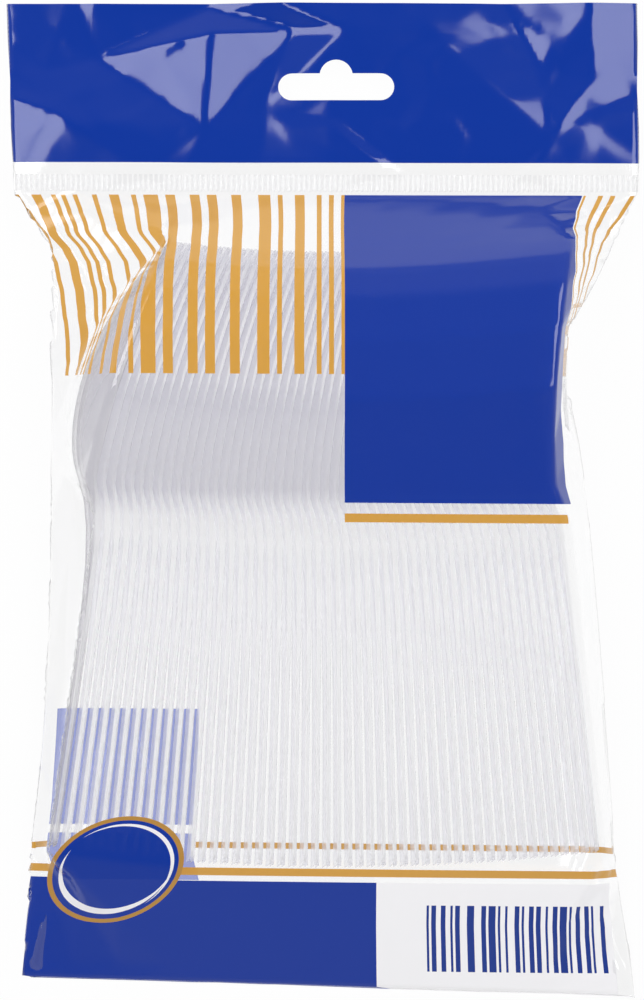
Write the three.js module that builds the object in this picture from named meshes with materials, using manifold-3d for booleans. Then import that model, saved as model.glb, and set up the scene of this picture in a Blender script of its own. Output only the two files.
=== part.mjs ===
// A pack of clear plastic spoons: fifty nested spoons standing on edge in a heat-sealed film bag
// with a flat hang header. The pack lies on its back. Millimetres, +X across the pack, +Y towards
// the header, +Z up through the front film. The origin is under the middle of the pack.
import * as THREE from "three";
import { mergeVertices } from "three/addons/utils/BufferGeometryUtils.js";
import Module from "manifold-3d";

const wasm = await Module();
wasm.setup();

const degrees = Math.PI / 180;

// One spoon
const spoonLength = 170;
const bowlLength = 78; // tip to neck
const bowlWidth = 41;
const bowlDepth = 11;
const neckWidth = 9;
const handleEndWidth = 13;
const handleDish = 1.2; // hollow across the handle at its end, less where it is narrower
const spoonWall = 1.2; // measured along the stacking direction, so that spoons nest
const tipRise = 9; // the tip stands off the handle's line, on the hollow side
const rimDip = 3.3; // the rim drops behind the handle's line before the neck
const tipRound = 1; // length of the rounded lip at the tip
const endRound = 3.5; // length of the rounded end of the handle

// The nested stack
const spoonCount = 50;
const bowlPitch = 2.34; // from spoon to spoon at the widest part of the bowl
const firstLeanDegrees = 8.5; // of the first handle away from the pack's axis
const lastLeanDegrees = -6.5;
const leanFade = 1.2; // above 1 the lean dies away faster at the first spoon than at the last
const stackOffset = 4; // the stack sits to the right of the bag's middle

// The film bag
const filmThickness = 0.3;
const filmClearance = 0.5; // from the film to the spoons
const bagWidth = 174.6; // laid flat
const headerLength = 44.8;
const headerTuck = 2.4; // the header's left edge leans in towards the seal
const sealLength = 8.5;
const headspace = 11.5; // from the closing seal to the spoon tips
const tailLength = 37; // from the handle ends to the bottom fold
const bottomSkew = 5.6; // the bottom fold runs lower on the right
const bottomTuck = 4; // and starts further in on the left
const leftSlack = 5.4; // loose film beside the stack
const rightSlack = 6;
const rightShoulder = 10.5; // more of it above the bowls on the right
const shoulderReach = 26;
const leftEase = 2.5; // the left weld stays upright, then swings out to the handle ends
const rightEase = 0.6; // the right one swings out first
const seamShare = 0.38; // side welds stand at this share of the film's height
const sealHeight = 10; // closing seal above the back film
const filmSag = 2; // of the film bridging from the bowls to the handle ends

// Hang slot in the header, and the air hole in the back film
const slotWidth = 32;
const slotHeight = 7.6;
const slotHumpRadius = 4.6;
const slotHumpRise = 3.8;
const slotFromTop = 27.7; // lower edge of the slot to the top of the header
const slotShift = 4; // the slot sits a little right of the middle
const airHoleDiameter = 3;

const clearPlastic = new THREE.MeshStandardMaterial({
  name: "clear_polystyrene",
  color: 0xe9ebf0,
  roughness: 0.12,
  metalness: 0,
  transparent: true,
  opacity: 0.45,
});
const printedFilm = new THREE.MeshStandardMaterial({
  name: "printed_film",
  color: 0x2443a4,
  roughness: 0.2,
  metalness: 0,
  transparent: true,
  opacity: 0.6,
});

// Spoon form. Lengths along the spoon run from the tip. Heights are along the stacking direction,
// measured from the handle's line, positive on the hollow side.
const widestShare = 0.46; // of the bowl's length, from the tip
const dipShare = 0.86;
const keelShare = 0.65; // where the back of the first bowl stands out furthest
const widestAt = widestShare * bowlLength;
const smooth = (t) => t * t * (3 - 2 * t);
const handleShare = (along) => (along - bowlLength) / (spoonLength - bowlLength);

function halfWidth(along) {
  const bowlHalf = bowlWidth / 2;
  const neckHalf = neckWidth / 2;
  if (along <= widestAt) {
    return bowlHalf * Math.sqrt(1 - ((widestAt - along) / widestAt) ** 2);
  }
  if (along <= bowlLength) {
    const t = (along - widestAt) / (bowlLength - widestAt);
    return neckHalf + (bowlHalf - neckHalf) * Math.cos((t * Math.PI) / 2) ** 2;
  }
  return THREE.MathUtils.lerp(neckHalf, handleEndWidth / 2, handleShare(along));
}

function rimHeight(along) {
  const dipAt = dipShare * bowlLength;
  if (along <= dipAt) {
    return (tipRise + rimDip) * (1 - along / dipAt) ** 1.6 - rimDip;
  }
  if (along <= bowlLength) {
    return -rimDip * (1 - smooth((along - dipAt) / (bowlLength - dipAt)));
  }
  return 0;
}

function dishDepth(along) {
  const handleDepth = (width) => (handleDish * width) / handleEndWidth;
  if (along >= bowlLength) {
    return handleDepth(2 * halfWidth(along));
  }
  const share = along / bowlLength;
  return handleDepth(neckWidth) * share + bowlDepth * Math.sin(Math.PI * share) ** 0.8;
}

// A point of the spoon's hollow face, with across from -1 to 1, in the spoon's own frame: +X along
// the stacking direction, -Y towards the handle, +Z across the spoon, origin at the widest section.
// The section at the tip bows forwards by the length of the lip.
function spoonPoint(along, across, below = 0) {
  const height = rimHeight(along) - dishDepth(along) * (1 - across ** 2) - below;
  const lip = along <= tipRound ? tipRound * (1 - across ** 2) : 0;
  return new THREE.Vector3(height, widestAt - along + lip, across * halfWidth(along));
}

const bowlSections = [0.06, 0.15, 0.3, 0.5, 0.7, 0.86, 1].map((share) => share * bowlLength);
const spoonSections = [tipRound, ...bowlSections, spoonLength - endRound];
const acrossSteps = [-1, -0.5, 0, 0.5, 1];

// Joins rings of equal length into a closed geometry, with a flat fan over each end ring.
function loft(rings) {
  const size = rings[0].length;
  const positions = rings.flat().flatMap((point) => point.toArray());
  const index = [];
  for (let r = 0; r + 1 < rings.length; r++) {
    for (let i = 0; i < size; i++) {
      const next = (i + 1) % size;
      const [a, b] = [r * size + i, r * size + next];
      index.push(a, b, b + size, a, b + size, a + size);
    }
  }
  const last = (rings.length - 1) * size;
  for (let i = 1; i + 1 < size; i++) {
    index.push(0, i + 1, i, last, last + i, last + i + 1);
  }
  const geometry = new THREE.BufferGeometry();
  geometry.setAttribute("position", new THREE.Float32BufferAttribute(positions, 3));
  geometry.setIndex(index);
  return geometry;
}

function spoonRing(along) {
  const hollowSide = acrossSteps.map((across) => spoonPoint(along, across));
  const outerSide = acrossSteps.map((across) => spoonPoint(along, -across, spoonWall));
  return [...hollowSide, ...outerSide];
}

// The last section of the handle is narrower and bows out to the full length.
function handleEndRing() {
  const bow = endRound * 0.4;
  const narrow = 0.6;
  return spoonRing(spoonLength - bow).map((point) => {
    const share = 1 - (point.z / halfWidth(spoonLength - bow)) ** 2;
    return new THREE.Vector3(point.x, point.y - bow * share, point.z * narrow);
  });
}

function makeSpoonGeometry() {
  const geometry = loft([...spoonSections.map(spoonRing), handleEndRing()]);
  geometry.computeVertexNormals();
  return geometry;
}

// The spoons stand on edge, each shifted square to its neighbour and turned a little less.
function makeStack() {
  const stack = new THREE.Group();
  const geometry = makeSpoonGeometry();
  const leanOf = (i) => {
    const fade = (1 - i / (spoonCount - 1)) ** leanFade;
    return THREE.MathUtils.lerp(lastLeanDegrees, firstLeanDegrees, fade) * degrees;
  };
  const place = new THREE.Vector2();
  for (let i = 0; i < spoonCount; i++) {
    const spoon = new THREE.Mesh(geometry, clearPlastic);
    spoon.name = `spoon_${String(i + 1).padStart(2, "0")}`;
    spoon.position.set(place.x, place.y, 0);
    spoon.rotation.z = -leanOf(i);
    stack.add(spoon);
    const lean = (leanOf(i) + leanOf(Math.min(i + 1, spoonCount - 1))) / 2;
    place.add(new THREE.Vector2(Math.cos(lean), -Math.sin(lean)).multiplyScalar(bowlPitch));
  }
  stack.position.x = stackOffset + (bowlPitch - place.x) / 2;
  return stack;
}

// The handles drop until bowls and handle ends both lie on the back film.
function seatStack(stack) {
  stack.rotation.x = Math.atan2((bowlWidth - handleEndWidth) / 2, spoonLength - widestAt);
  const low = new THREE.Box3().setFromObject(stack, true).min.z;
  stack.position.z = filmThickness + filmClearance - low;
  stack.updateMatrixWorld(true);
}

// The film follows the stack section by section: one column of film over each of a few spoons.
const columnCount = 7;
const outset = filmThickness + filmClearance;

function makeBagGeometry(stack) {
  const spoons = stack.children;
  const columns = Array.from({ length: columnCount }, (_, c) => {
    return spoons[Math.round((c * (spoonCount - 1)) / (columnCount - 1))];
  });
  const [first, last] = [columns[0], columns[columnCount - 1]];
  const onSpoon = (spoon, ...where) => spoonPoint(...where).applyMatrix4(spoon.matrixWorld);
  const shifted = (point, x, z) => new THREE.Vector3(point.x + x, point.y, point.z + z);
  const atHeight = (point, x, z) => new THREE.Vector3(point.x + x, point.y, z);

  // Height of the film over a spoon: on the bowl's rim, then in a slack line to the handle's end.
  const filmOver = (spoon, along) => {
    const top = onSpoon(spoon, along, 1);
    if (along > widestAt) {
      const share = (along - widestAt) / (spoonLength - widestAt);
      const bowlTop = onSpoon(spoon, widestAt, 1).z;
      const endTop = onSpoon(spoon, spoonLength, 1).z;
      const bridge = THREE.MathUtils.lerp(bowlTop, endTop, share) - filmSag * Math.sin(Math.PI * share);
      top.z = Math.max(top.z, bridge);
    }
    return shifted(top, -spoonWall / 2, outset);
  };

  // Side welds: beside the bowls, then straight on to the handle ends.
  const seamOf = (spoon, from, across, along, slack, ease) => {
    const share = THREE.MathUtils.clamp((along - from) / (spoonLength - from), 0, 1);
    const bowlX = onSpoon(spoon, from, across, spoonWall).x;
    const endX = onSpoon(spoon, spoonLength, across, spoonWall).x;
    const x = THREE.MathUtils.lerp(bowlX, endX, share ** ease) + slack;
    const over = filmOver(spoon, along);
    return new THREE.Vector3(x, over.y, seamShare * over.z);
  };

  // Front points run from the left weld to the right one, and back points return.
  const stackRing = (along) => {
    const keel = onSpoon(first, along, 0, spoonWall);
    const flank = onSpoon(first, along, 0.5, spoonWall);
    const over = columns.map((spoon) => filmOver(spoon, along));
    over[0].x -= outset + spoonWall;
    over[columnCount - 1].x += outset + spoonWall;
    const leftSeam = seamOf(first, keelShare * bowlLength, 0, along, -leftSlack, leftEase);
    const loose = rightSlack + rightShoulder * Math.max(0, 1 - along / shoulderReach);
    const rightSeam = seamOf(last, Math.min(along, widestAt), 1, along, loose, rightEase);
    const rightFlank = over[columnCount - 1].clone().lerp(rightSeam, 0.5);
    rightFlank.x += outset;
    const front = [
      leftSeam,
      shifted(keel, -outset, 0),
      shifted(flank, -outset, 0),
      ...over,
      rightFlank,
      rightSeam,
    ];
    const under = over.map((point) => atHeight(point, 0, 0));
    under[0].x -= outset;
    const back = [...under].reverse();
    return [
      ...front,
      shifted(rightSeam, 0, -2 * filmThickness),
      ...back,
      shifted(leftSeam, 0, -2 * filmThickness),
    ];
  };

  // Two layers of film welded flat.
  const frontCount = columnCount + 5;
  const backCount = columnCount + 2;
  const flatRing = (y, height, skew = 0, tuck = 0) => {
    const point = (share, z) => {
      const x = THREE.MathUtils.lerp(tuck - bagWidth / 2, bagWidth / 2, share);
      return new THREE.Vector3(x, y - skew * share, z);
    };
    const front = Array.from({ length: frontCount }, (_, i) => {
      return point(i / (frontCount - 1), height + filmThickness);
    });
    const back = Array.from({ length: backCount }, (_, i) => {
      return point(1 - i / (backCount - 1), height - filmThickness);
    });
    return [...front, ...back];
  };
  const between = (from, to, share) => from.map((point, i) => point.clone().lerp(to[i], share));

  const tipY = Math.max(...spoons.map((spoon) => onSpoon(spoon, 0, 0).y));
  const endY = Math.min(...spoons.map((spoon) => onSpoon(spoon, spoonLength, 0).y));
  const sealY = tipY + headspace;
  const headerY = sealY + sealLength;
  const topY = headerY + headerLength;
  const bottomY = endY - tailLength;
  const tipRing = stackRing(tipRound);
  const endRing = stackRing(spoonLength);
  const sealRing = flatRing(sealY, sealHeight, 0, headerTuck);
  const bottomRing = flatRing(bottomY + bottomSkew, filmThickness, bottomSkew, bottomTuck);
  const filmHandleSections = [0.15, 0.3, 0.5, 0.7, 0.88].map((share) => {
    return THREE.MathUtils.lerp(bowlLength, spoonLength, share);
  });
  const body = [
    between(bottomRing, endRing, 0.15),
    between(bottomRing, endRing, 0.5),
    between(bottomRing, endRing, 0.8),
    endRing,
    ...[...bowlSections, ...filmHandleSections].reverse().map(stackRing),
    tipRing,
    between(tipRing, sealRing, 0.25),
    between(tipRing, sealRing, 0.6),
  ];
  const header = [
    sealRing,
    flatRing(headerY, sealHeight, 0, headerTuck),
    flatRing(topY - headerLength / 2, sealHeight / 2, 0, headerTuck / 2),
    flatRing(topY, filmThickness),
  ];
  const outside = solidOf(loft([bottomRing, ...body, ...header]));
  const inside = solidOf(loft(body.map((ring) => inset(ring, filmThickness))));
  const slot = solidOf(makeSlotGeometry(topY - slotFromTop));
  const hole = solidOf(makeAirHoleGeometry(0, endY - tailLength / 4));
  return geometryOf(outside.subtract(inside).subtract(slot).subtract(hole));
}

// Moves a ring inwards by a distance, in the plane across the pack.
function inset(ring, distance) {
  return ring.map((point, i) => {
    const before = ring[(i + ring.length - 1) % ring.length];
    const after = ring[(i + 1) % ring.length];
    const normalOf = (from, to) => {
      return new THREE.Vector2(to.z - from.z, from.x - to.x).normalize();
    };
    const [a, b] = [normalOf(before, point), normalOf(point, after)];
    const miter = a.clone().add(b).multiplyScalar(distance / (1 + a.dot(b)));
    return new THREE.Vector3(point.x + miter.x, point.y, point.z + miter.y);
  });
}

// A long slot with a rounded hump over its middle, cut straight through the header.
function makeSlotGeometry(lowerEdge) {
  const end = slotHeight / 2;
  const reach = slotWidth / 2 - end;
  const humpCentre = lowerEdge + slotHeight + slotHumpRise - slotHumpRadius;
  const outline = new THREE.Shape();
  outline.absarc(reach, lowerEdge + end, end, -Math.PI / 2, Math.PI / 2);
  const rise = Math.asin((lowerEdge + slotHeight - humpCentre) / slotHumpRadius);
  outline.absarc(0, humpCentre, slotHumpRadius, rise, Math.PI - rise);
  outline.absarc(-reach, lowerEdge + end, end, Math.PI / 2, (3 * Math.PI) / 2);
  const depth = 4 * sealHeight;
  const geometry = new THREE.ExtrudeGeometry(outline, { depth, bevelEnabled: false, curveSegments: 8 });
  return geometry.translate(slotShift, 0, -depth / 2);
}

function makeAirHoleGeometry(x, y) {
  const radius = airHoleDiameter / 2;
  const geometry = new THREE.CylinderGeometry(radius, radius, 4 * filmThickness, 12);
  return geometry.rotateX(Math.PI / 2).translate(x, y, 0);
}

function solidOf(geometry) {
  const bare = new THREE.BufferGeometry();
  bare.setAttribute("position", geometry.getAttribute("position"));
  bare.setIndex(geometry.index);
  const merged = mergeVertices(bare);
  const vertProperties = merged.getAttribute("position").array;
  const triVerts = new Uint32Array(merged.index.array);
  return new wasm.Manifold(new wasm.Mesh({ numProp: 3, vertProperties, triVerts }));
}

function geometryOf(solid) {
  const { vertProperties, triVerts } = solid.getMesh();
  const geometry = new THREE.BufferGeometry();
  geometry.setAttribute("position", new THREE.Float32BufferAttribute(vertProperties, 3));
  geometry.setIndex(new THREE.BufferAttribute(triVerts, 1));
  geometry.computeVertexNormals();
  return geometry;
}

const stack = makeStack();
seatStack(stack);
const bag = new THREE.Mesh(makeBagGeometry(stack), printedFilm);
bag.name = "film_bag";

// The pack's own frame: origin under the middle of its box.
const contents = new THREE.Group();
contents.add(bag, stack);
const box = new THREE.Box3().setFromObject(contents, true);
const middle = box.getCenter(new THREE.Vector3());
contents.position.set(-middle.x, -middle.y, -box.min.z);
const pack = new THREE.Group();
pack.add(contents);
export default pack;
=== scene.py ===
import math
import random
from bisect import bisect_right
import bpy
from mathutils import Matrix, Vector
from mathutils.bvhtree import BVHTree


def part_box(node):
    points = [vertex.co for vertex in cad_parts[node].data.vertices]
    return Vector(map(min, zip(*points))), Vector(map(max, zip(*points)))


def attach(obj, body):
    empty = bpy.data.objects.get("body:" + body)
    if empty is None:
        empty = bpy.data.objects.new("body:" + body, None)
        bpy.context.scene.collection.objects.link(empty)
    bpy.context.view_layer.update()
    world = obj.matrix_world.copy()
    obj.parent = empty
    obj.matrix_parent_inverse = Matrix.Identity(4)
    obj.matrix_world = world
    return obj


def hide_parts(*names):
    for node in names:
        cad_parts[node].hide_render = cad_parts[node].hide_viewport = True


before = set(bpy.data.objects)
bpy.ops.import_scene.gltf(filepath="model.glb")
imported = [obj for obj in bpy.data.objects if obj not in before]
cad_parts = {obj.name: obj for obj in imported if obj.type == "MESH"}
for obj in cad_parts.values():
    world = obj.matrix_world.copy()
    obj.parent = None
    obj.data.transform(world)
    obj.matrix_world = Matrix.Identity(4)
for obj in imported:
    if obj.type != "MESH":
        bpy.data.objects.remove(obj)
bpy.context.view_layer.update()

scene = bpy.context.scene
scene.view_settings.view_transform = "Standard"
print("frame loaded:", len(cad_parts), "nodes")


def hexToLinear(code):  # sRGB hex as given, to the linear value a socket wants
    parts = [int(code[i:i + 2], 16) / 255 for i in (1, 3, 5)]
    return tuple(c / 12.92 if c <= 0.04045 else ((c + 0.055) / 1.055) ** 2.4 for c in parts) + (1.0,)


# one node, its settings and what goes into it, where a node given as a value stands for its first output
# a Map Range's sockets 1 to 4 are from low, from high, to low, to high, and a Mix has its colours in 6 and 7
def addNode(tree, kind, inputs=None, **settings):
    node = tree.nodes.new(kind)
    for key, value in settings.items():
        setattr(node, key, value)
    for key, value in (inputs or {}).items():
        if isinstance(value, bpy.types.Node):
            value = value.outputs[0]
        if isinstance(value, bpy.types.NodeSocket):
            tree.links.new(value, node.inputs[key])
        else:
            node.inputs[key].default_value = value
    return node


def newMaterial(name):
    material = bpy.data.materials.new(name)
    material.use_nodes = True
    material.node_tree.nodes.clear()
    return material, material.node_tree


def pickOnly(piece):  # everything else deselected, this one active
    bpy.ops.object.select_all(action="DESELECT")
    piece.select_set(True)
    bpy.context.view_layer.objects.active = piece


# camera straight above, as the photo was taken, from a bit over a metre
cameraSetup = {"height": 1.15, "lens": 149.3, "sensor": 36, "aim": (0.0001, 0.0003)}
bpy.ops.object.camera_add(location=(*cameraSetup["aim"], cameraSetup["height"]), rotation=(0, 0, 0))
camera = bpy.context.object
camera.data.lens = cameraSetup["lens"]
camera.data.sensor_width = cameraSetup["sensor"]
scene.camera = camera

# plain white sweep under the pack, seen white by the camera and through the clear plastic
floorSetup = {"size": 4.0, "gap": 0.0004, "paint": "#f4f4f6", "whiteShare": 0.93}
bpy.ops.mesh.primitive_plane_add(size=floorSetup["size"], location=(0, 0, -floorSetup["gap"]))
floor = bpy.context.object
floor.name = "studioFloor"
floorMaterial, tree = newMaterial("whiteStudioFloor")
path = addNode(tree, "ShaderNodeLightPath")
seen = addNode(tree, "ShaderNodeMath", {
    0: path.outputs["Is Camera Ray"], 1: path.outputs["Is Glossy Ray"]}, operation="MAXIMUM")
seen = addNode(tree, "ShaderNodeMath", {0: seen, 1: path.outputs["Is Transmission Ray"]}, operation="MAXIMUM")
share = addNode(tree, "ShaderNodeMath", {0: seen, 1: floorSetup["whiteShare"]}, operation="MULTIPLY")
paint = addNode(tree, "ShaderNodeBsdfDiffuse", {"Color": hexToLinear(floorSetup["paint"])})
white = addNode(tree, "ShaderNodeEmission", {"Color": (1, 1, 1, 1), "Strength": 1.0})
mixed = addNode(tree, "ShaderNodeMixShader", {0: share, 1: paint, 2: white})
addNode(tree, "ShaderNodeOutputMaterial", {"Surface": mixed})
floor.data.materials.append(floorMaterial)
floor.visible_shadow = False  # the room's light from below stands for what a white table throws back
floor.visible_diffuse = False

# room light, bright near the horizon and dim overhead, so flat film mirrors little
roomLight = {
    "table": 1.4, "horizon": 0.4, "zenith": 0.03,  # brightness from below, from the side and from above
    "tableToHorizon": (-0.15, 0.1), "horizonToZenith": (0.35, 0.9),  # upward share of the way looked in
}
world = bpy.data.worlds.new("studioRoom")
scene.world = world
world.use_nodes = True
tree = world.node_tree
tree.nodes.clear()
way = addNode(tree, "ShaderNodeTexCoord")
upward = addNode(tree, "ShaderNodeSeparateXYZ", {0: way.outputs["Generated"]}).outputs["Z"]
start, stop = roomLight["horizonToZenith"]
level = addNode(tree, "ShaderNodeMapRange", {
    "Value": upward, 1: start, 2: stop, 3: roomLight["horizon"], 4: roomLight["zenith"]})
start, stop = roomLight["tableToHorizon"]
below = addNode(tree, "ShaderNodeMapRange", {
    "Value": upward, 1: start, 2: stop, 3: roomLight["table"] / roomLight["horizon"], 4: 1.0})
level = addNode(tree, "ShaderNodeMath", {0: level, 1: below}, operation="MULTIPLY")
room = addNode(tree, "ShaderNodeBackground", {"Color": (1, 1, 1, 1), "Strength": level})
addNode(tree, "ShaderNodeOutputWorld", {"Surface": room})

# two long soft boxes overhead, left and right of the camera, which tilted facets of film mirror
softBoxes = [
    {"name": "stripLeft", "at": (-0.56, 0.35, 1.35), "turn": -22, "size": (0.6, 1.4), "power": 13.2},
    {"name": "stripRight", "at": (0.58, 0.35, 1.35), "turn": 23, "size": (0.55, 1.4), "power": 11.0},
]
for box in softBoxes:
    bpy.ops.object.light_add(type="AREA", location=box["at"], rotation=(0, math.radians(box["turn"]), 0))
    lamp = bpy.context.object
    lamp.name = box["name"]
    lamp.data.shape = "RECTANGLE"
    lamp.data.size, lamp.data.size_y = box["size"]
    lamp.data.energy = box["power"]
print("camera, floor and lights set")

# clear moulded polystyrene: each wall holds back a little light, so the stack looks milky; white painted as
# highlight makes its rims bright, and grey painted as shade darkens bowls and edges
spoonPlastics = {
    "clearPolystyrene": {
        # bowl grey is painted shade, rim white a painted highlight, edge grey painted shade
        "wall": "#f6f5fb", "bowl": "#d0ced9", "rim": "#ffffff", "edge": "#c8c6d1",
        "cover": 0.28, "rimCover": 0.85, "edgeCover": 0.32},
    # the first spoon of the row shows its whole bowl; it is the same plastic with shade painted in, greyer
    # and with a dark painted outline
    "clearPolystyreneEndShaded": {
        "wall": "#c6c3cb", "bowl": "#b9b6be", "rim": "#ffffff", "edge": "#8f8c96",
        "cover": 0.34, "rimCover": 0.5, "edgeCover": 0.85},
}
spoonLook = {
    "bowlStart": (-0.004, 0.003),  # along the pack, where the bowls lie deep in each other and grey is painted as shade
    "bowlRimHighlight": 0.75,  # how much of the rims' painted highlight is left in the bowls
    "rimHighlightTurn": (0.55, 0.95),  # upward share of a face's normal, from wall to rim, where the painted highlight comes in
    "edgeShadeTurn": (0.6, 0.97),  # from faces seen at a slant to faces seen edge on, where grey is painted as shade
    "through": (0.99, 0.99, 0.995, 1),
    "roughness": 0.3, "specular": 0.5,
}
for name, plastic in spoonPlastics.items():
    tree = newMaterial(name)[1]
    shape = addNode(tree, "ShaderNodeNewGeometry")
    upward = addNode(tree, "ShaderNodeSeparateXYZ", {0: shape.outputs["Normal"]}).outputs["Z"]
    start, stop = spoonLook["rimHighlightTurn"]
    # faces turned up, the rims, get white painted as highlight
    rim = addNode(tree, "ShaderNodeMapRange", {"Value": upward, 1: start, 2: stop})
    place = addNode(tree, "ShaderNodeTexCoord")
    along = addNode(tree, "ShaderNodeSeparateXYZ", {0: place.outputs["Object"]}).outputs["Y"]
    start, stop = spoonLook["bowlStart"]
    # the bowls' end of the pack, where grey is painted as shade and the painted rim highlight is dimmed
    bowl = addNode(tree, "ShaderNodeMapRange", {"Value": along, 1: start, 2: stop})
    calm = addNode(tree, "ShaderNodeMapRange", {"Value": bowl, 3: 1.0, 4: spoonLook["bowlRimHighlight"]})
    rim = addNode(tree, "ShaderNodeMath", {0: rim, 1: calm}, operation="MULTIPLY")
    # faces seen edge on get grey painted as shade
    turn = addNode(tree, "ShaderNodeLayerWeight", {"Blend": 0.5})
    start, stop = spoonLook["edgeShadeTurn"]
    edge = addNode(tree, "ShaderNodeMapRange", {"Value": turn.outputs["Facing"], 1: start, 2: stop})
    # rims and edges are also made more opaque, so their painted highlight and shade show
    milkHighlightAndShade = addNode(tree, "ShaderNodeMapRange", {"Value": rim, 3: plastic["cover"], 4: plastic["rimCover"]})
    milkHighlightAndShade = addNode(tree, "ShaderNodeMapRange", {"Value": edge, 3: milkHighlightAndShade, 4: plastic["edgeCover"]})
    tone = hexToLinear(plastic["wall"])
    for mask, color in ((bowl, "bowl"), (rim, "rim"), (edge, "edge")):  # painted bowl shade, rim highlight and edge shade, each over the one before
        tints = {0: mask, 6: tone, 7: hexToLinear(plastic[color])}
        tone = addNode(tree, "ShaderNodeMix", tints, data_type="RGBA").outputs[2]
    through = addNode(tree, "ShaderNodeBsdfTransparent", {"Color": spoonLook["through"]})
    body = addNode(tree, "ShaderNodeBsdfPrincipled", {
        "Base Color": tone, "Roughness": spoonLook["roughness"], "Specular IOR Level": spoonLook["specular"]})
    lit = addNode(tree, "ShaderNodeMixShader", {0: milkHighlightAndShade, 1: through, 2: body})
    path = addNode(tree, "ShaderNodeLightPath")
    lamps = addNode(tree, "ShaderNodeBsdfTransparent", {"Color": (1, 1, 1, 1)})  # lamps shine through
    lit = addNode(tree, "ShaderNodeMixShader", {0: path.outputs["Is Shadow Ray"], 1: lit, 2: lamps})
    addNode(tree, "ShaderNodeOutputMaterial", {"Surface": lit})

# spoons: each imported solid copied, its loose triangles joined to quads, rims held crisp, then rounded
spoonSetup = {
    "weld": 0.00002,
    "flatAngle": 35, "skewAngle": 60,  # limits for joining two triangles
    "rimAngle": 50, "rimCrease": 0.9,
    "levels": 2,
}
spoonNames = sorted(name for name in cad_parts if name.startswith("spoon_"))
for name in spoonNames:
    pickOnly(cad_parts[name])
    bpy.ops.object.duplicate()
    spoon = bpy.context.object
    spoon.name = "clear_" + name
    for key in list(spoon.keys()):
        del spoon[key]
    spoon.parent = None
    bpy.ops.object.mode_set(mode="EDIT")
    bpy.ops.mesh.select_all(action="SELECT")
    bpy.ops.mesh.remove_doubles(threshold=spoonSetup["weld"])
    bpy.ops.mesh.tris_convert_to_quads(
        face_threshold=math.radians(spoonSetup["flatAngle"]),
        shape_threshold=math.radians(spoonSetup["skewAngle"]))
    bpy.ops.mesh.select_all(action="DESELECT")
    bpy.ops.mesh.edges_select_sharp(sharpness=math.radians(spoonSetup["rimAngle"]))
    bpy.ops.transform.edge_crease(value=spoonSetup["rimCrease"])
    bpy.ops.object.mode_set(mode="OBJECT")
    bpy.ops.object.modifier_add(type="SUBSURF")
    rounding = spoon.modifiers[-1]
    rounding.levels = spoonSetup["levels"]
    rounding.render_levels = spoonSetup["levels"]
    bpy.ops.object.modifier_apply(modifier=rounding.name)
    bpy.ops.object.shade_smooth_by_angle(angle=math.radians(spoonSetup["rimAngle"]))
    spoon.data.materials.clear()
    # the first spoon takes the copy of the plastic with shade painted in
    plastic = "clearPolystyreneEndShaded" if name == spoonNames[0] else "clearPolystyrene"
    spoon.data.materials.append(bpy.data.materials[plastic])
    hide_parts(name)
    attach(spoon, "root")
    spoon.visible_shadow = False  # clear plastic keeps no light off its neighbours
    spoon.visible_diffuse = False
print("spoons made:", len(spoonNames))

# film: one web of clear film, folded at the bottom and welded at both sides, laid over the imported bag
bagFilm = {
    "flat": (0.1746, 0.5524),  # the web's width, and its length over front and back
    "columns": 140,  # cells across the flat web
    "rows": 220,  # cells from the header's top to the fold
    "bottomLeft": -0.1325, "bottomRight": -0.1381,  # the fold runs lower on the right
    "endTrim": 0.0015,  # share of the length left off at both ends, where rays would miss
    "rayHeight": 0.1, "step": 0.0005, "halvings": 9,  # rays across the bag, and closer ones at its edges
    "weld": 0.00005,
    "softTurn": 0.35, "softLength": (-0.126, 0.082), "softRounds": 12,  # the front between fold and seal
    "backTurn": -0.2,  # film that faces further down than this is the back
}
airHole = {"at": (0.0, -0.11033), "radius": 0.0015, "clearance": 1.5, "points": 24, "depth": 0.0115}
down = Vector((0, 0, -1))
up = Vector((0, 0, 1))


def pointAlong(corners, lengths, length):  # the point this far round a closed section
    length %= lengths[-1]
    after = min(bisect_right(lengths, length), len(lengths) - 1)
    before = after - 1
    share = (length - lengths[before]) / (lengths[after] - lengths[before])
    return corners[before].lerp(corners[after], share)


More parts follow.
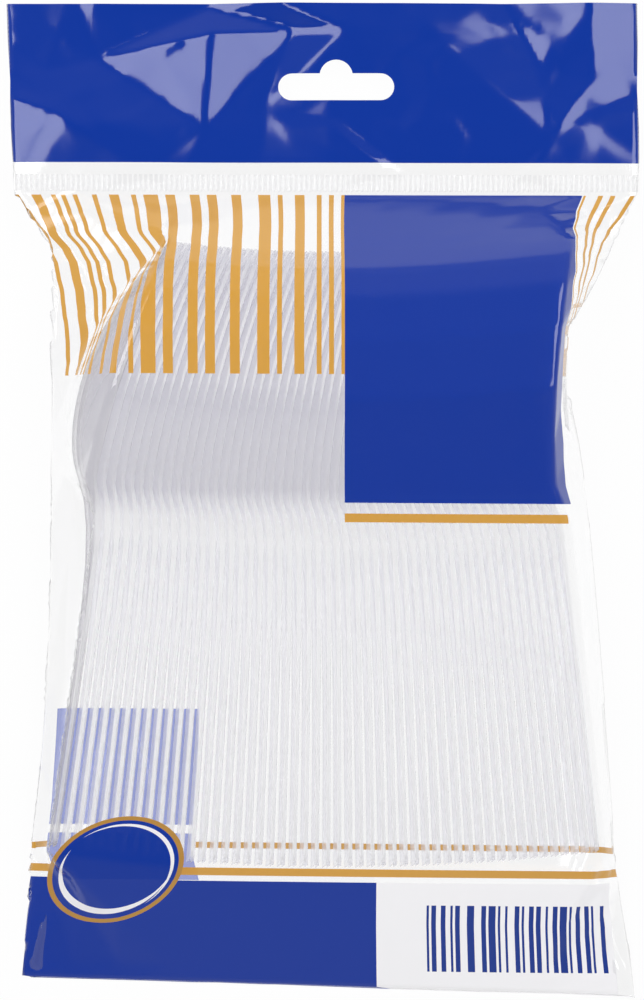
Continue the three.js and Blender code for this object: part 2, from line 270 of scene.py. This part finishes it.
def layFilm(setup):  # where each corner of the web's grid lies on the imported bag, by row and column
    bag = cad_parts["film_bag"].data
    surface = BVHTree.FromPolygons([v.co for v in bag.vertices], [face.vertices for face in bag.polygons])
    low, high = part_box("film_bag")
    columns, rows, step = setup["columns"], setup["rows"], setup["step"]
    holeX, holeY = airHole["at"]

    def probe(x, share):  # the bag's front and back at one spot, and whether the air hole lies clear of it
        right = (x - low.x) / (high.x - low.x)
        fold = setup["bottomLeft"] + (setup["bottomRight"] - setup["bottomLeft"]) * right
        y = high.y + (fold - high.y) * share
        over = surface.ray_cast(Vector((x, y, setup["rayHeight"])), down)[0]
        under = surface.ray_cast(Vector((x, y, -setup["rayHeight"])), up)[0]
        return over, under, math.hypot(x - holeX, y - holeY) > airHole["clearance"] * airHole["radius"]

    def section(share):  # the closed section at this share of the bag's length, front then back
        share = min(max(share, setup["endTrim"]), 1 - setup["endTrim"])
        steps = int((high.x - low.x) / step)
        spots = [low.x + (high.x - low.x) * i / steps for i in range(steps + 1)]
        inside = [x for x in spots if probe(x, share)[0]]
        # the exact edges, by halving the step between a hit and a miss
        for end, off in ((inside[0], inside[0] - step), (inside[-1], inside[-1] + step)):
            for turn in range(setup["halvings"]):
                half = (end + off) / 2
                end, off = (half, off) if probe(half, share)[0] else (end, half)
            inside.append(end)
        front, back = [], []
        for x in sorted(inside):
            over, under, clear = probe(x, share)
            if over and under:
                front.append(over)
                if clear:
                    back.append(under)
        return front + back[::-1], len(front)

    points = {}
    for row in range(rows + 1):
        loop, frontCount = section(row / rows)
        corners = loop + loop[:1]
        lengths = [0.0]
        for near, far in zip(corners, corners[1:]):
            lengths.append(lengths[-1] + (far - near).length)
        left = max(i for i in range(frontCount - 1) if loop[i].x <= 0)
        near, far = loop[left].x, loop[left + 1].x
        middle = lengths[left] + (lengths[left + 1] - lengths[left]) * (0 - near) / (far - near)
        half = lengths[-1] / 2
        for column in range(columns + 1):  # measured off both ways from the middle of the front and the back
            offset = (column / columns - 0.5) * half
            points[row, column] = pointAlong(corners, lengths, middle + offset)
            points[2 * rows - row, column] = pointAlong(corners, lengths, middle + half - offset)
    return points


points = layFilm(bagFilm)
bpy.ops.object.select_all(action="DESELECT")
bpy.ops.mesh.primitive_grid_add(x_subdivisions=bagFilm["columns"], y_subdivisions=2 * bagFilm["rows"], size=1)
film = bpy.context.object
film.name = "filmBag"
for vertex in film.data.vertices:
    row, column = divmod(vertex.index, bagFilm["columns"] + 1)
    vertex.co = points[2 * bagFilm["rows"] - row, column]
film.data.uv_layers[0].name = "flatWeb"
pickOnly(film)
bpy.ops.object.transform_apply(location=True, rotation=True, scale=True)
bpy.ops.object.mode_set(mode="EDIT")
bpy.ops.mesh.select_all(action="SELECT")
bpy.ops.mesh.remove_doubles(threshold=bagFilm["weld"])  # welds front to back along both sides
bpy.ops.mesh.normals_make_consistent(inside=False)
bpy.ops.mesh.select_mode(type="VERT")
bpy.ops.mesh.select_all(action="DESELECT")
bpy.ops.object.mode_set(mode="OBJECT")
low, high = bagFilm["softLength"]
for vertex in film.data.vertices:
    vertex.select = vertex.normal.z > bagFilm["softTurn"] and low < vertex.co.y < high
bpy.ops.object.mode_set(mode="EDIT")
bpy.ops.mesh.vertices_smooth(factor=0.5, repeat=bagFilm["softRounds"])
bpy.ops.object.mode_set(mode="OBJECT")
print("film laid:", len(film.data.vertices), "points")

# crumples: flat facets with sharp creases between them, from a net of jittered points, always outward
creases = {"jitter": 0.42, "fadeAcross": 0.012, "fadeAlong": 0.018}
crumples = {
    "header": {
        "x": (-0.1, 0.1), "y": (0.085, 0.17), "cell": (0.022, 0.019),
        "height": 0.0042, "side": "both", "seed": 4},
    "headerFine": {
        "x": (-0.1, 0.1), "y": (0.085, 0.17), "cell": (0.008, 0.007),
        "height": 0.0005, "side": "both", "seed": 9},
    "shoulders": {
        "x": (-0.1, 0.1), "y": (0.042, 0.095), "cell": (0.009, 0.024),
        "height": 0.0009, "side": "front", "seed": 12},
    "panelTop": {
        "x": (-0.012, 0.082), "y": (0.052, 0.092), "cell": (0.012, 0.0075),
        "height": 0.0011, "side": "front", "seed": 17},
    "leftSide": {
        "x": (-0.1, -0.052), "y": (-0.125, 0.07), "cell": (0.006, 0.03),
        "height": 0.0013, "side": "front", "seed": 21},
    "rightSide": {
        "x": (0.055, 0.1), "y": (-0.125, 0.075), "cell": (0.006, 0.028),
        "height": 0.0013, "side": "front", "seed": 33},
    "middle": {
        "x": (-0.07, 0.07), "y": (-0.125, 0.02), "cell": (0.013, 0.034),
        "height": 0.0004, "side": "front", "seed": 45},
    "tail": {
        "x": (-0.1, 0.1), "y": (-0.15, -0.09), "cell": (0.021, 0.014),
        "height": 0.0007, "side": "front", "seed": 58},
}


def facetNet(setup):  # flat triangles between jittered points of random height
    dice = random.Random(setup["seed"])
    jitter = creases["jitter"]
    (left, right), (low, high) = setup["x"], setup["y"]
    wide, tall = setup["cell"]
    countX = int((right - left) / wide) + 2
    countY = int((high - low) / tall) + 2
    net = []
    for j in range(countY):
        for i in range(countX):
            x = left + (i + dice.uniform(-jitter, jitter)) * wide
            y = low + (j + dice.uniform(-jitter, jitter)) * tall
            net.append(Vector((x, y, dice.random() * setup["height"])))
    faces = []
    for j in range(countY - 1):
        for i in range(countX - 1):
            a = j * countX + i
            b, c, d = a + 1, a + countX + 1, a + countX
            faces += [(a, b, c), (a, c, d)] if dice.random() < 0.5 else [(a, b, d), (b, c, d)]
    return BVHTree.FromPolygons(net, faces)


def fadeEnds(value, ends, soft):  # 0 at both ends and 1 between them
    return min(1, max(0, (value - ends[0]) / soft)) * min(1, max(0, (ends[1] - value) / soft))


normals = [v.normal.copy() for v in film.data.vertices]
flats = [v.co.copy() for v in film.data.vertices]
for crumple in crumples.values():
    facets = facetNet(crumple)
    for vertex, normal, here in zip(film.data.vertices, normals, flats):
        if crumple["side"] == "front" and normal.z < bagFilm["backTurn"]:
            continue
        fade = fadeEnds(here.y, crumple["y"], creases["fadeAlong"])
        fade *= fadeEnds(here.x, crumple["x"], creases["fadeAcross"])
        if fade <= 0:
            continue
        hit = facets.ray_cast(Vector((here.x, here.y, 1)), down)[0]
        if hit:
            vertex.co += (up if crumple["side"] == "both" else normal) * hit.z * fade
print("film crumpled:", ", ".join(crumples))

# the folds that the photo shows, as soft ridges along lines across the front
folds = {
    "leftShoulder": {
        "line": [(-0.082, 0.0828), (-0.071, 0.071), (-0.066, 0.065), (-0.0615, 0.0546), (-0.0615, 0.046)],
        "height": 0.0016, "half": 0.0016},
    "leftFork": {
        "line": [(-0.059, 0.065), (-0.0552, 0.0486), (-0.0557, 0.0273), (-0.057, 0.0027)],
        "height": 0.0017, "half": 0.0018},
    "leftForkArm": {"line": [(-0.0485, 0.0585), (-0.0552, 0.0486)], "height": 0.0013, "half": 0.0016},
    "rightShoulder": {
        "line": [(0.0806, 0.0779), (0.0754, 0.0628), (0.0705, 0.052), (0.0664, 0.041)],
        "height": 0.0016, "half": 0.0016},
    "rightEdge": {"line": [(0.0655, 0.062), (0.0648, 0.03), (0.066, 0.0)], "height": 0.0014, "half": 0.0014},
    "rightTail": {
        "line": [(0.077, -0.09), (0.072, -0.103), (0.0775, -0.118), (0.082, -0.13)],
        "height": 0.0017, "half": 0.0018},
    "leftTail": {
        "line": [(-0.079, -0.1), (-0.076, -0.113), (-0.079, -0.128)],
        "height": 0.0014, "half": 0.0016},
}
foldReach = 3  # half widths from the line, past which a ridge has died away
for fold in folds.values():
    line = [Vector(point) for point in fold["line"]]
    for vertex, normal, here in zip(film.data.vertices, normals, flats):
        if normal.z < bagFilm["backTurn"]:
            continue
        spot = here.to_2d()
        gap = 1.0
        for a, b in zip(line, line[1:]):
            share = min(1, max(0, (spot - a).dot(b - a) / (b - a).length_squared))
            gap = min(gap, (spot - a - (b - a) * share).length)
        if gap < foldReach * fold["half"]:
            vertex.co += normal * fold["height"] * math.exp(-(gap / fold["half"]) ** 2)
film.data.update()
print("film folded:", ", ".join(folds))

# the web's top edges are welded, then the hanging slot and the air hole are punched
pickOnly(film)
bpy.ops.object.mode_set(mode="EDIT")
bpy.ops.mesh.select_all(action="DESELECT")
bpy.ops.mesh.select_mode(type="EDGE")
bpy.ops.mesh.select_non_manifold(
    extend=False, use_wire=False, use_multi_face=False, use_non_contiguous=False, use_verts=False)
bpy.ops.mesh.edge_face_add()
bpy.ops.mesh.select_all(action="SELECT")
bpy.ops.mesh.normals_make_consistent(inside=False)
bpy.ops.object.mode_set(mode="OBJECT")
hangSlot = {
    "lowerEdge": 0.11038, "middle": 0.004, "width": 0.032, "height": 0.0076,
    "humpRadius": 0.0046, "humpRise": 0.0038,
    "arcSteps": 16, "depth": 0.04,
    "wallsAbove": 0.1, "wallTurn": 0.3,  # where the cut's walls are, and how upright they stand
}
punchFloor = -0.01  # punches start under the pack


def arcPoints(x, y, radius, angles):
    return [(x + radius * math.cos(angle), y + radius * math.sin(angle)) for angle in angles]


slotTop = hangSlot["lowerEdge"] + hangSlot["height"]
end = hangSlot["height"] / 2
reach = hangSlot["width"] / 2 - end
humpY = slotTop + hangSlot["humpRise"] - hangSlot["humpRadius"]
lift = math.asin((slotTop - humpY) / hangSlot["humpRadius"])
arcs = [  # right end, hump and left end: across, along, radius, first and last angle
    (hangSlot["middle"] + reach, hangSlot["lowerEdge"] + end, end, -math.pi / 2, math.pi / 2),
    (hangSlot["middle"], humpY, hangSlot["humpRadius"], lift, math.pi - lift),
    (hangSlot["middle"] - reach, hangSlot["lowerEdge"] + end, end, math.pi / 2, 3 * math.pi / 2),
]
slotEdge = []
for x, y, radius, first, last in arcs:
    steps = hangSlot["arcSteps"]
    slotEdge += arcPoints(x, y, radius, [first + (last - first) * i / steps for i in range(steps + 1)])
holeAngles = [math.tau * i / airHole["points"] for i in range(airHole["points"])]
holeEdge = arcPoints(*airHole["at"], airHole["radius"], holeAngles)
for outline, depth in ((slotEdge, hangSlot["depth"]), (holeEdge, airHole["depth"])):
    bpy.ops.mesh.primitive_circle_add(vertices=len(outline), fill_type="NGON")
    punch = bpy.context.object
    for vertex, (x, y) in zip(punch.data.vertices, outline):
        vertex.co = (x, y, punchFloor)
    pickOnly(punch)
    bpy.ops.object.mode_set(mode="EDIT")
    bpy.ops.mesh.select_all(action="SELECT")
    bpy.ops.mesh.extrude_region_move(TRANSFORM_OT_translate={"value": (0, 0, depth)})
    bpy.ops.mesh.select_all(action="SELECT")
    bpy.ops.mesh.normals_make_consistent(inside=False)
    bpy.ops.object.mode_set(mode="OBJECT")
    pickOnly(film)
    bpy.ops.object.modifier_add(type="BOOLEAN")
    cut = film.modifiers[-1]
    cut.object = punch
    cut.operation = "DIFFERENCE"
    cut.solver = "EXACT"
    bpy.ops.object.modifier_apply(modifier=cut.name)
    bpy.data.objects.remove(punch)

# the cuts leave walls between front and back, and the film is a web again without them
pocketTop = 0.002  # the air hole's cut leaves a shallow pocket
pocketReach = 1.01 * airHole["radius"]
bpy.ops.object.mode_set(mode="EDIT")
bpy.ops.mesh.select_mode(type="FACE")
bpy.ops.mesh.select_all(action="DESELECT")
bpy.ops.object.mode_set(mode="OBJECT")
for polygon in film.data.polygons:
    center = polygon.center
    wall = center.y > hangSlot["wallsAbove"] and abs(polygon.normal.z) < hangSlot["wallTurn"]
    pocket = math.dist(center.to_2d(), airHole["at"]) < pocketReach and center.z < pocketTop
    polygon.select = wall or pocket
bpy.ops.object.mode_set(mode="EDIT")
bpy.ops.mesh.delete(type="FACE")
bpy.ops.object.mode_set(mode="OBJECT")
print("slot punched:", len(film.data.polygons), "faces")
pickOnly(film)
bpy.ops.object.shade_smooth()
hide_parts("film_bag")
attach(film, "root")

# print, in millimetres on the flat web: across from the middle, down from the header's top edge
stripes = [
    (-86.2, -85.1), (-81.3, -78.6), (-76.1, -75.0), (-73.3, -71.9), (-69.7, -68.3), (-64.6, -63.3),
    (-59.7, -57.0), (-53.3, -52.2), (-49.9, -46.0), (-43.8, -41.1), (-36.9, -34.5), (-32.3, -29.5),
    (-25.8, -23.1), (-17.8, -15.0), (-12.4, -11.3), (-7.6, -4.9), (-1.4, 0.0), (1.8, 2.9),
    (5.4, 6.8), (72.8, 73.4), (77.0, 78.1), (80.1, 81.5), (85.8, 88.3),
]
bars = [
    29.5, 31.3, 33.5, 36.2, 38.0, 41.0, 42.8, 45.3, 47.5, 50.2, 51.9, 54.6,
    56.7, 59.2, 61.0, 63.8, 65.8, 68.0, 70.8, 72.7, 75.2, 77.5, 80.2,
]
barWidths = (0.7, 1.2, 1.7)  # taken in turn
barRuns = [(x, x + barWidths[i % 3]) for i, x in enumerate(bars)]
wholeWidth = (-90, 90)  # past both edges of the web
fields = [
    {"ink": "blue", "side": "both", "across": wholeWidth, "down": (-1, 45.6)},  # header
    {"ink": "blue", "side": "front", "across": (6.4, 72.6), "down": (54.6, 139.9)},  # panel
    {"ink": "gold", "side": "front", "across": (6.4, 68.4), "down": (142.8, 145.2)},  # line under the panel
    {"ink": "gold", "side": "front", "across": wholeWidth, "down": (241.2, 243.4)},  # line over the block
    {"ink": "blue", "side": "front", "across": (-86.8, 15.6), "down": (245.0, 280)},  # block at the bottom
    {"ink": "paper", "side": "front", "across": (15.6, 84), "down": (245.0, 280)},  # ground for the bars
    {"ink": "backBlue", "side": "back", "across": (-78.9, -36.7), "down": (198, 230.6)},  # field on the back
    {"ink": "backBlue", "side": "back", "across": (-78.9, -36.7), "down": (233.0, 246)},  # its foot
    {"ink": "gold", "side": "back", "across": wholeWidth, "down": (235.3, 237.0)},  # line on the back
]
runs = [
    {"ink": "gold", "across": stripes, "down": (54.6, 105.2)},
    {"ink": "bars", "across": barRuns, "down": (251.4, 270.6)},
]
rampRuns = 12  # runs to one colour ramp, which holds no more than 32 stops
printSkew = 0.000068  # stretch of the print for each millimetre to the right, as it runs lower there
webWidth, webLength = (1000 * side for side in bagFilm["flat"])

# gloss polypropylene film with flat inks on it: clear where bare, nearly opaque where printed
filmMaterial, tree = newMaterial("printedClearFilm")
web = addNode(tree, "ShaderNodeUVMap", uv_map="flatWeb")
webX, webY = addNode(tree, "ShaderNodeSeparateXYZ", {0: web}).outputs[:2]
sides = {
    "front": addNode(tree, "ShaderNodeMath", {0: webY, 1: 0.5}, operation="GREATER_THAN"),
    "back": addNode(tree, "ShaderNodeMath", {0: webY, 1: 0.5}, operation="LESS_THAN"),
    "both": 1.0,
}
acrossWeb = addNode(tree, "ShaderNodeMapRange", {"Value": webX, 3: -webWidth / 2, 4: webWidth / 2})
farEnd = addNode(tree, "ShaderNodeMath", {0: 1.0, 1: webY}, operation="SUBTRACT")
nearEnd = addNode(tree, "ShaderNodeMath", {0: webY, 1: farEnd}, operation="MINIMUM")
stretch = addNode(tree, "ShaderNodeMath", {
    0: acrossWeb, 1: webLength * printSkew, 2: webLength}, operation="MULTIPLY_ADD")
downWeb = addNode(tree, "ShaderNodeMath", {0: nearEnd, 1: stretch}, operation="MULTIPLY")
masks = {}


def printField(across, down, side):  # a rectangle on the web, 1 inside it and 0 outside
    mask = sides[side]
    for place, (first, last) in ((acrossWeb, across), (downWeb, down)):
        span = addNode(tree, "ShaderNodeMath", {
            0: place, 1: (first + last) / 2, 2: (last - first) / 2}, operation="COMPARE")
        mask = addNode(tree, "ShaderNodeMath", {0: mask, 1: span}, operation="MULTIPLY")
    return mask


def addInk(ink, mask):  # joins a shape to what is already printed in that ink
    if ink in masks:
        mask = addNode(tree, "ShaderNodeMath", {0: masks[ink], 1: mask}, operation="MAXIMUM")
    masks[ink] = mask


for field in fields:
    addInk(field["ink"], printField(field["across"], field["down"], field["side"]))
# stripes and bars: hard stops along the web's width, cut to their height
for run in runs:
    row = printField(wholeWidth, run["down"], "front")
    for first in range(0, len(run["across"]), rampRuns):
        ramp = addNode(tree, "ShaderNodeValToRGB", {0: webX})
        stops = ramp.color_ramp.elements
        ramp.color_ramp.interpolation = "CONSTANT"
        stops.remove(stops[1])
        stops[0].color = (0, 0, 0, 1)
        for left, right in run["across"][first:first + rampRuns]:
            stops.new(left / webWidth + 0.5).color = (1, 1, 1, 1)
            stops.new(right / webWidth + 0.5).color = (0, 0, 0, 1)
        addInk(run["ink"], addNode(tree, "ShaderNodeMath", {0: ramp, 1: row}, operation="MULTIPLY"))

# badge: an oval with a gold rim, its field bare but for two crescents, true to shape from above
badge = {"at": (-0.0567, -0.1012), "half": (0.0198, 0.0141), "tilt": 23}
badgeOvals = {  # shift and size, as shares of the badge's half lengths
    "rim": ((0, 0), 1.0), "edge": ((0, 0), 0.925),
    "low": ((0, 0), 0.83), "lowCut": ((0.05, 0.1), 0.82),
    "high": ((0, 0), 0.86), "highCut": ((-0.05, -0.045), 0.86),
}
anyHeight = 1000  # flattens the ovals' third axis, so the film's height doesn't count
spot = addNode(tree, "ShaderNodeTexCoord")
ovals = {}
halfX, halfY = badge["half"]
for name, (shift, size) in badgeOvals.items():
    moved = addNode(tree, "ShaderNodeMapping", {
        "Vector": spot.outputs["Object"],
        "Location": (badge["at"][0] + shift[0] * halfX, badge["at"][1] + shift[1] * halfY, 0),
        "Rotation": (0, 0, math.radians(badge["tilt"])),
        "Scale": (halfX * size, halfY * size, anyHeight)}, vector_type="TEXTURE")
    radius = addNode(tree, "ShaderNodeVectorMath", {0: moved}, operation="LENGTH").outputs["Value"]
    within = addNode(tree, "ShaderNodeMath", {0: radius, 1: 1.0}, operation="LESS_THAN")
    ovals[name] = addNode(tree, "ShaderNodeMath", {0: within, 1: sides["front"]}, operation="MULTIPLY")
for name in ("low", "high"):  # a crescent is what one oval leaves of another
    crescent = {0: ovals[name], 1: ovals[name + "Cut"]}
    addInk("crescents", addNode(tree, "ShaderNodeMath", crescent, operation="SUBTRACT", use_clamp=True))

# heat seal: upright ribs pressed across the band under the header
heatSeal = {"down": (48.9, 53.5), "ribPitch": 1.44, "ribHeight": 0.0003, "ribStrength": 0.8}
ribTurns = math.tau / heatSeal["ribPitch"]
ribs = addNode(tree, "ShaderNodeMath", {0: acrossWeb, 1: ribTurns}, operation="MULTIPLY")
ribs = addNode(tree, "ShaderNodeMath", {0: ribs}, operation="SINE")
band = printField(wholeWidth, heatSeal["down"], "both")
ribs = addNode(tree, "ShaderNodeMath", {0: ribs, 1: band}, operation="MULTIPLY")
# half of each rib's pitch, where grey is painted as shade
masks["ribs"] = addNode(tree, "ShaderNodeMath", {0: ribs, 1: 0.0}, operation="MAXIMUM")
pressed = addNode(tree, "ShaderNodeBump", {
    "Height": ribs, "Strength": heatSeal["ribStrength"], "Distance": heatSeal["ribHeight"]})

# inks laid one over the other, each with its own cover, and grey painted as shade along the seal's ribs
inksAndRibShade = [
    {"mask": masks["gold"], "color": "#d59c36", "cover": 0.95},
    {"mask": masks["blue"], "color": "#0f369c", "cover": 0.988},
    {"mask": masks["backBlue"], "color": "#3a5ccc", "cover": 0.72},
    {"mask": masks["paper"], "color": "#fdfcff", "cover": 0.85},
    # painted shade along the seal's ribs, not an ink
    {"mask": masks["ribs"], "color": "#b9b9c4", "cover": 0.17},
    {"mask": masks["bars"], "color": "#16378f", "cover": 0.985},
    {"mask": ovals["rim"], "color": "#b98a3f", "cover": 0.98},
    {"mask": ovals["edge"], "color": "#0f369c", "cover": 0.988},
    {"mask": masks["crescents"], "color": "#f6f5f9", "cover": 0.98},
]
filmLook = {
    "tint": "#ffffff", "cover": 0.045,  # of the bare film
    "shine": (0.045, 0.85), "shineRise": 4.0,  # seen straight on and edge on, and how late it rises
    "roughness": 0.11,
    "shadow": (0.8, 0.8, 0.82, 1),  # thin film throws only a faint one
}
tint = hexToLinear(filmLook["tint"])
cover = filmLook["cover"]
for ink in inksAndRibShade:
    tints = {0: ink["mask"], 6: tint, 7: hexToLinear(ink["color"])}
    tint = addNode(tree, "ShaderNodeMix", tints, data_type="RGBA").outputs[2]
    cover = addNode(tree, "ShaderNodeMapRange", {"Value": ink["mask"], 3: cover, 4: ink["cover"]})
through = addNode(tree, "ShaderNodeBsdfTransparent", {"Color": (1, 1, 1, 1)})
printed = addNode(tree, "ShaderNodeBsdfDiffuse", {"Color": tint, "Normal": pressed})
sheet = addNode(tree, "ShaderNodeMixShader", {0: cover, 1: through, 2: printed})
turn = addNode(tree, "ShaderNodeLayerWeight", {"Blend": 0.5, "Normal": pressed})
rise = addNode(tree, "ShaderNodeMath", {
    0: turn.outputs["Facing"], 1: filmLook["shineRise"]}, operation="POWER")
straight, slanted = filmLook["shine"]
shine = addNode(tree, "ShaderNodeMapRange", {"Value": rise, 3: straight, 4: slanted})
gloss = addNode(tree, "ShaderNodeBsdfGlossy", {
    "Color": (1, 1, 1, 1), "Roughness": filmLook["roughness"], "Normal": pressed})
lit = addNode(tree, "ShaderNodeMixShader", {0: shine, 1: sheet, 2: gloss})
path = addNode(tree, "ShaderNodeLightPath")
lamps = addNode(tree, "ShaderNodeBsdfTransparent", {"Color": filmLook["shadow"]})
lit = addNode(tree, "ShaderNodeMixShader", {0: path.outputs["Is Shadow Ray"], 1: lit, 2: lamps})
addNode(tree, "ShaderNodeOutputMaterial", {"Surface": lit})
film.data.materials.append(filmMaterial)
film.visible_diffuse = False
print("film printed:", len(inksAndRibShade), "inksAndRibShade")

# light goes straight through many clear walls, and needs few bounces besides
scene.cycles.transparent_max_bounces = 32
scene.cycles.max_bounces = 4
scene.cycles.diffuse_bounces = 0
scene.cycles.glossy_bounces = 1
scene.cycles.caustics_reflective = False
scene.cycles.caustics_refractive = False
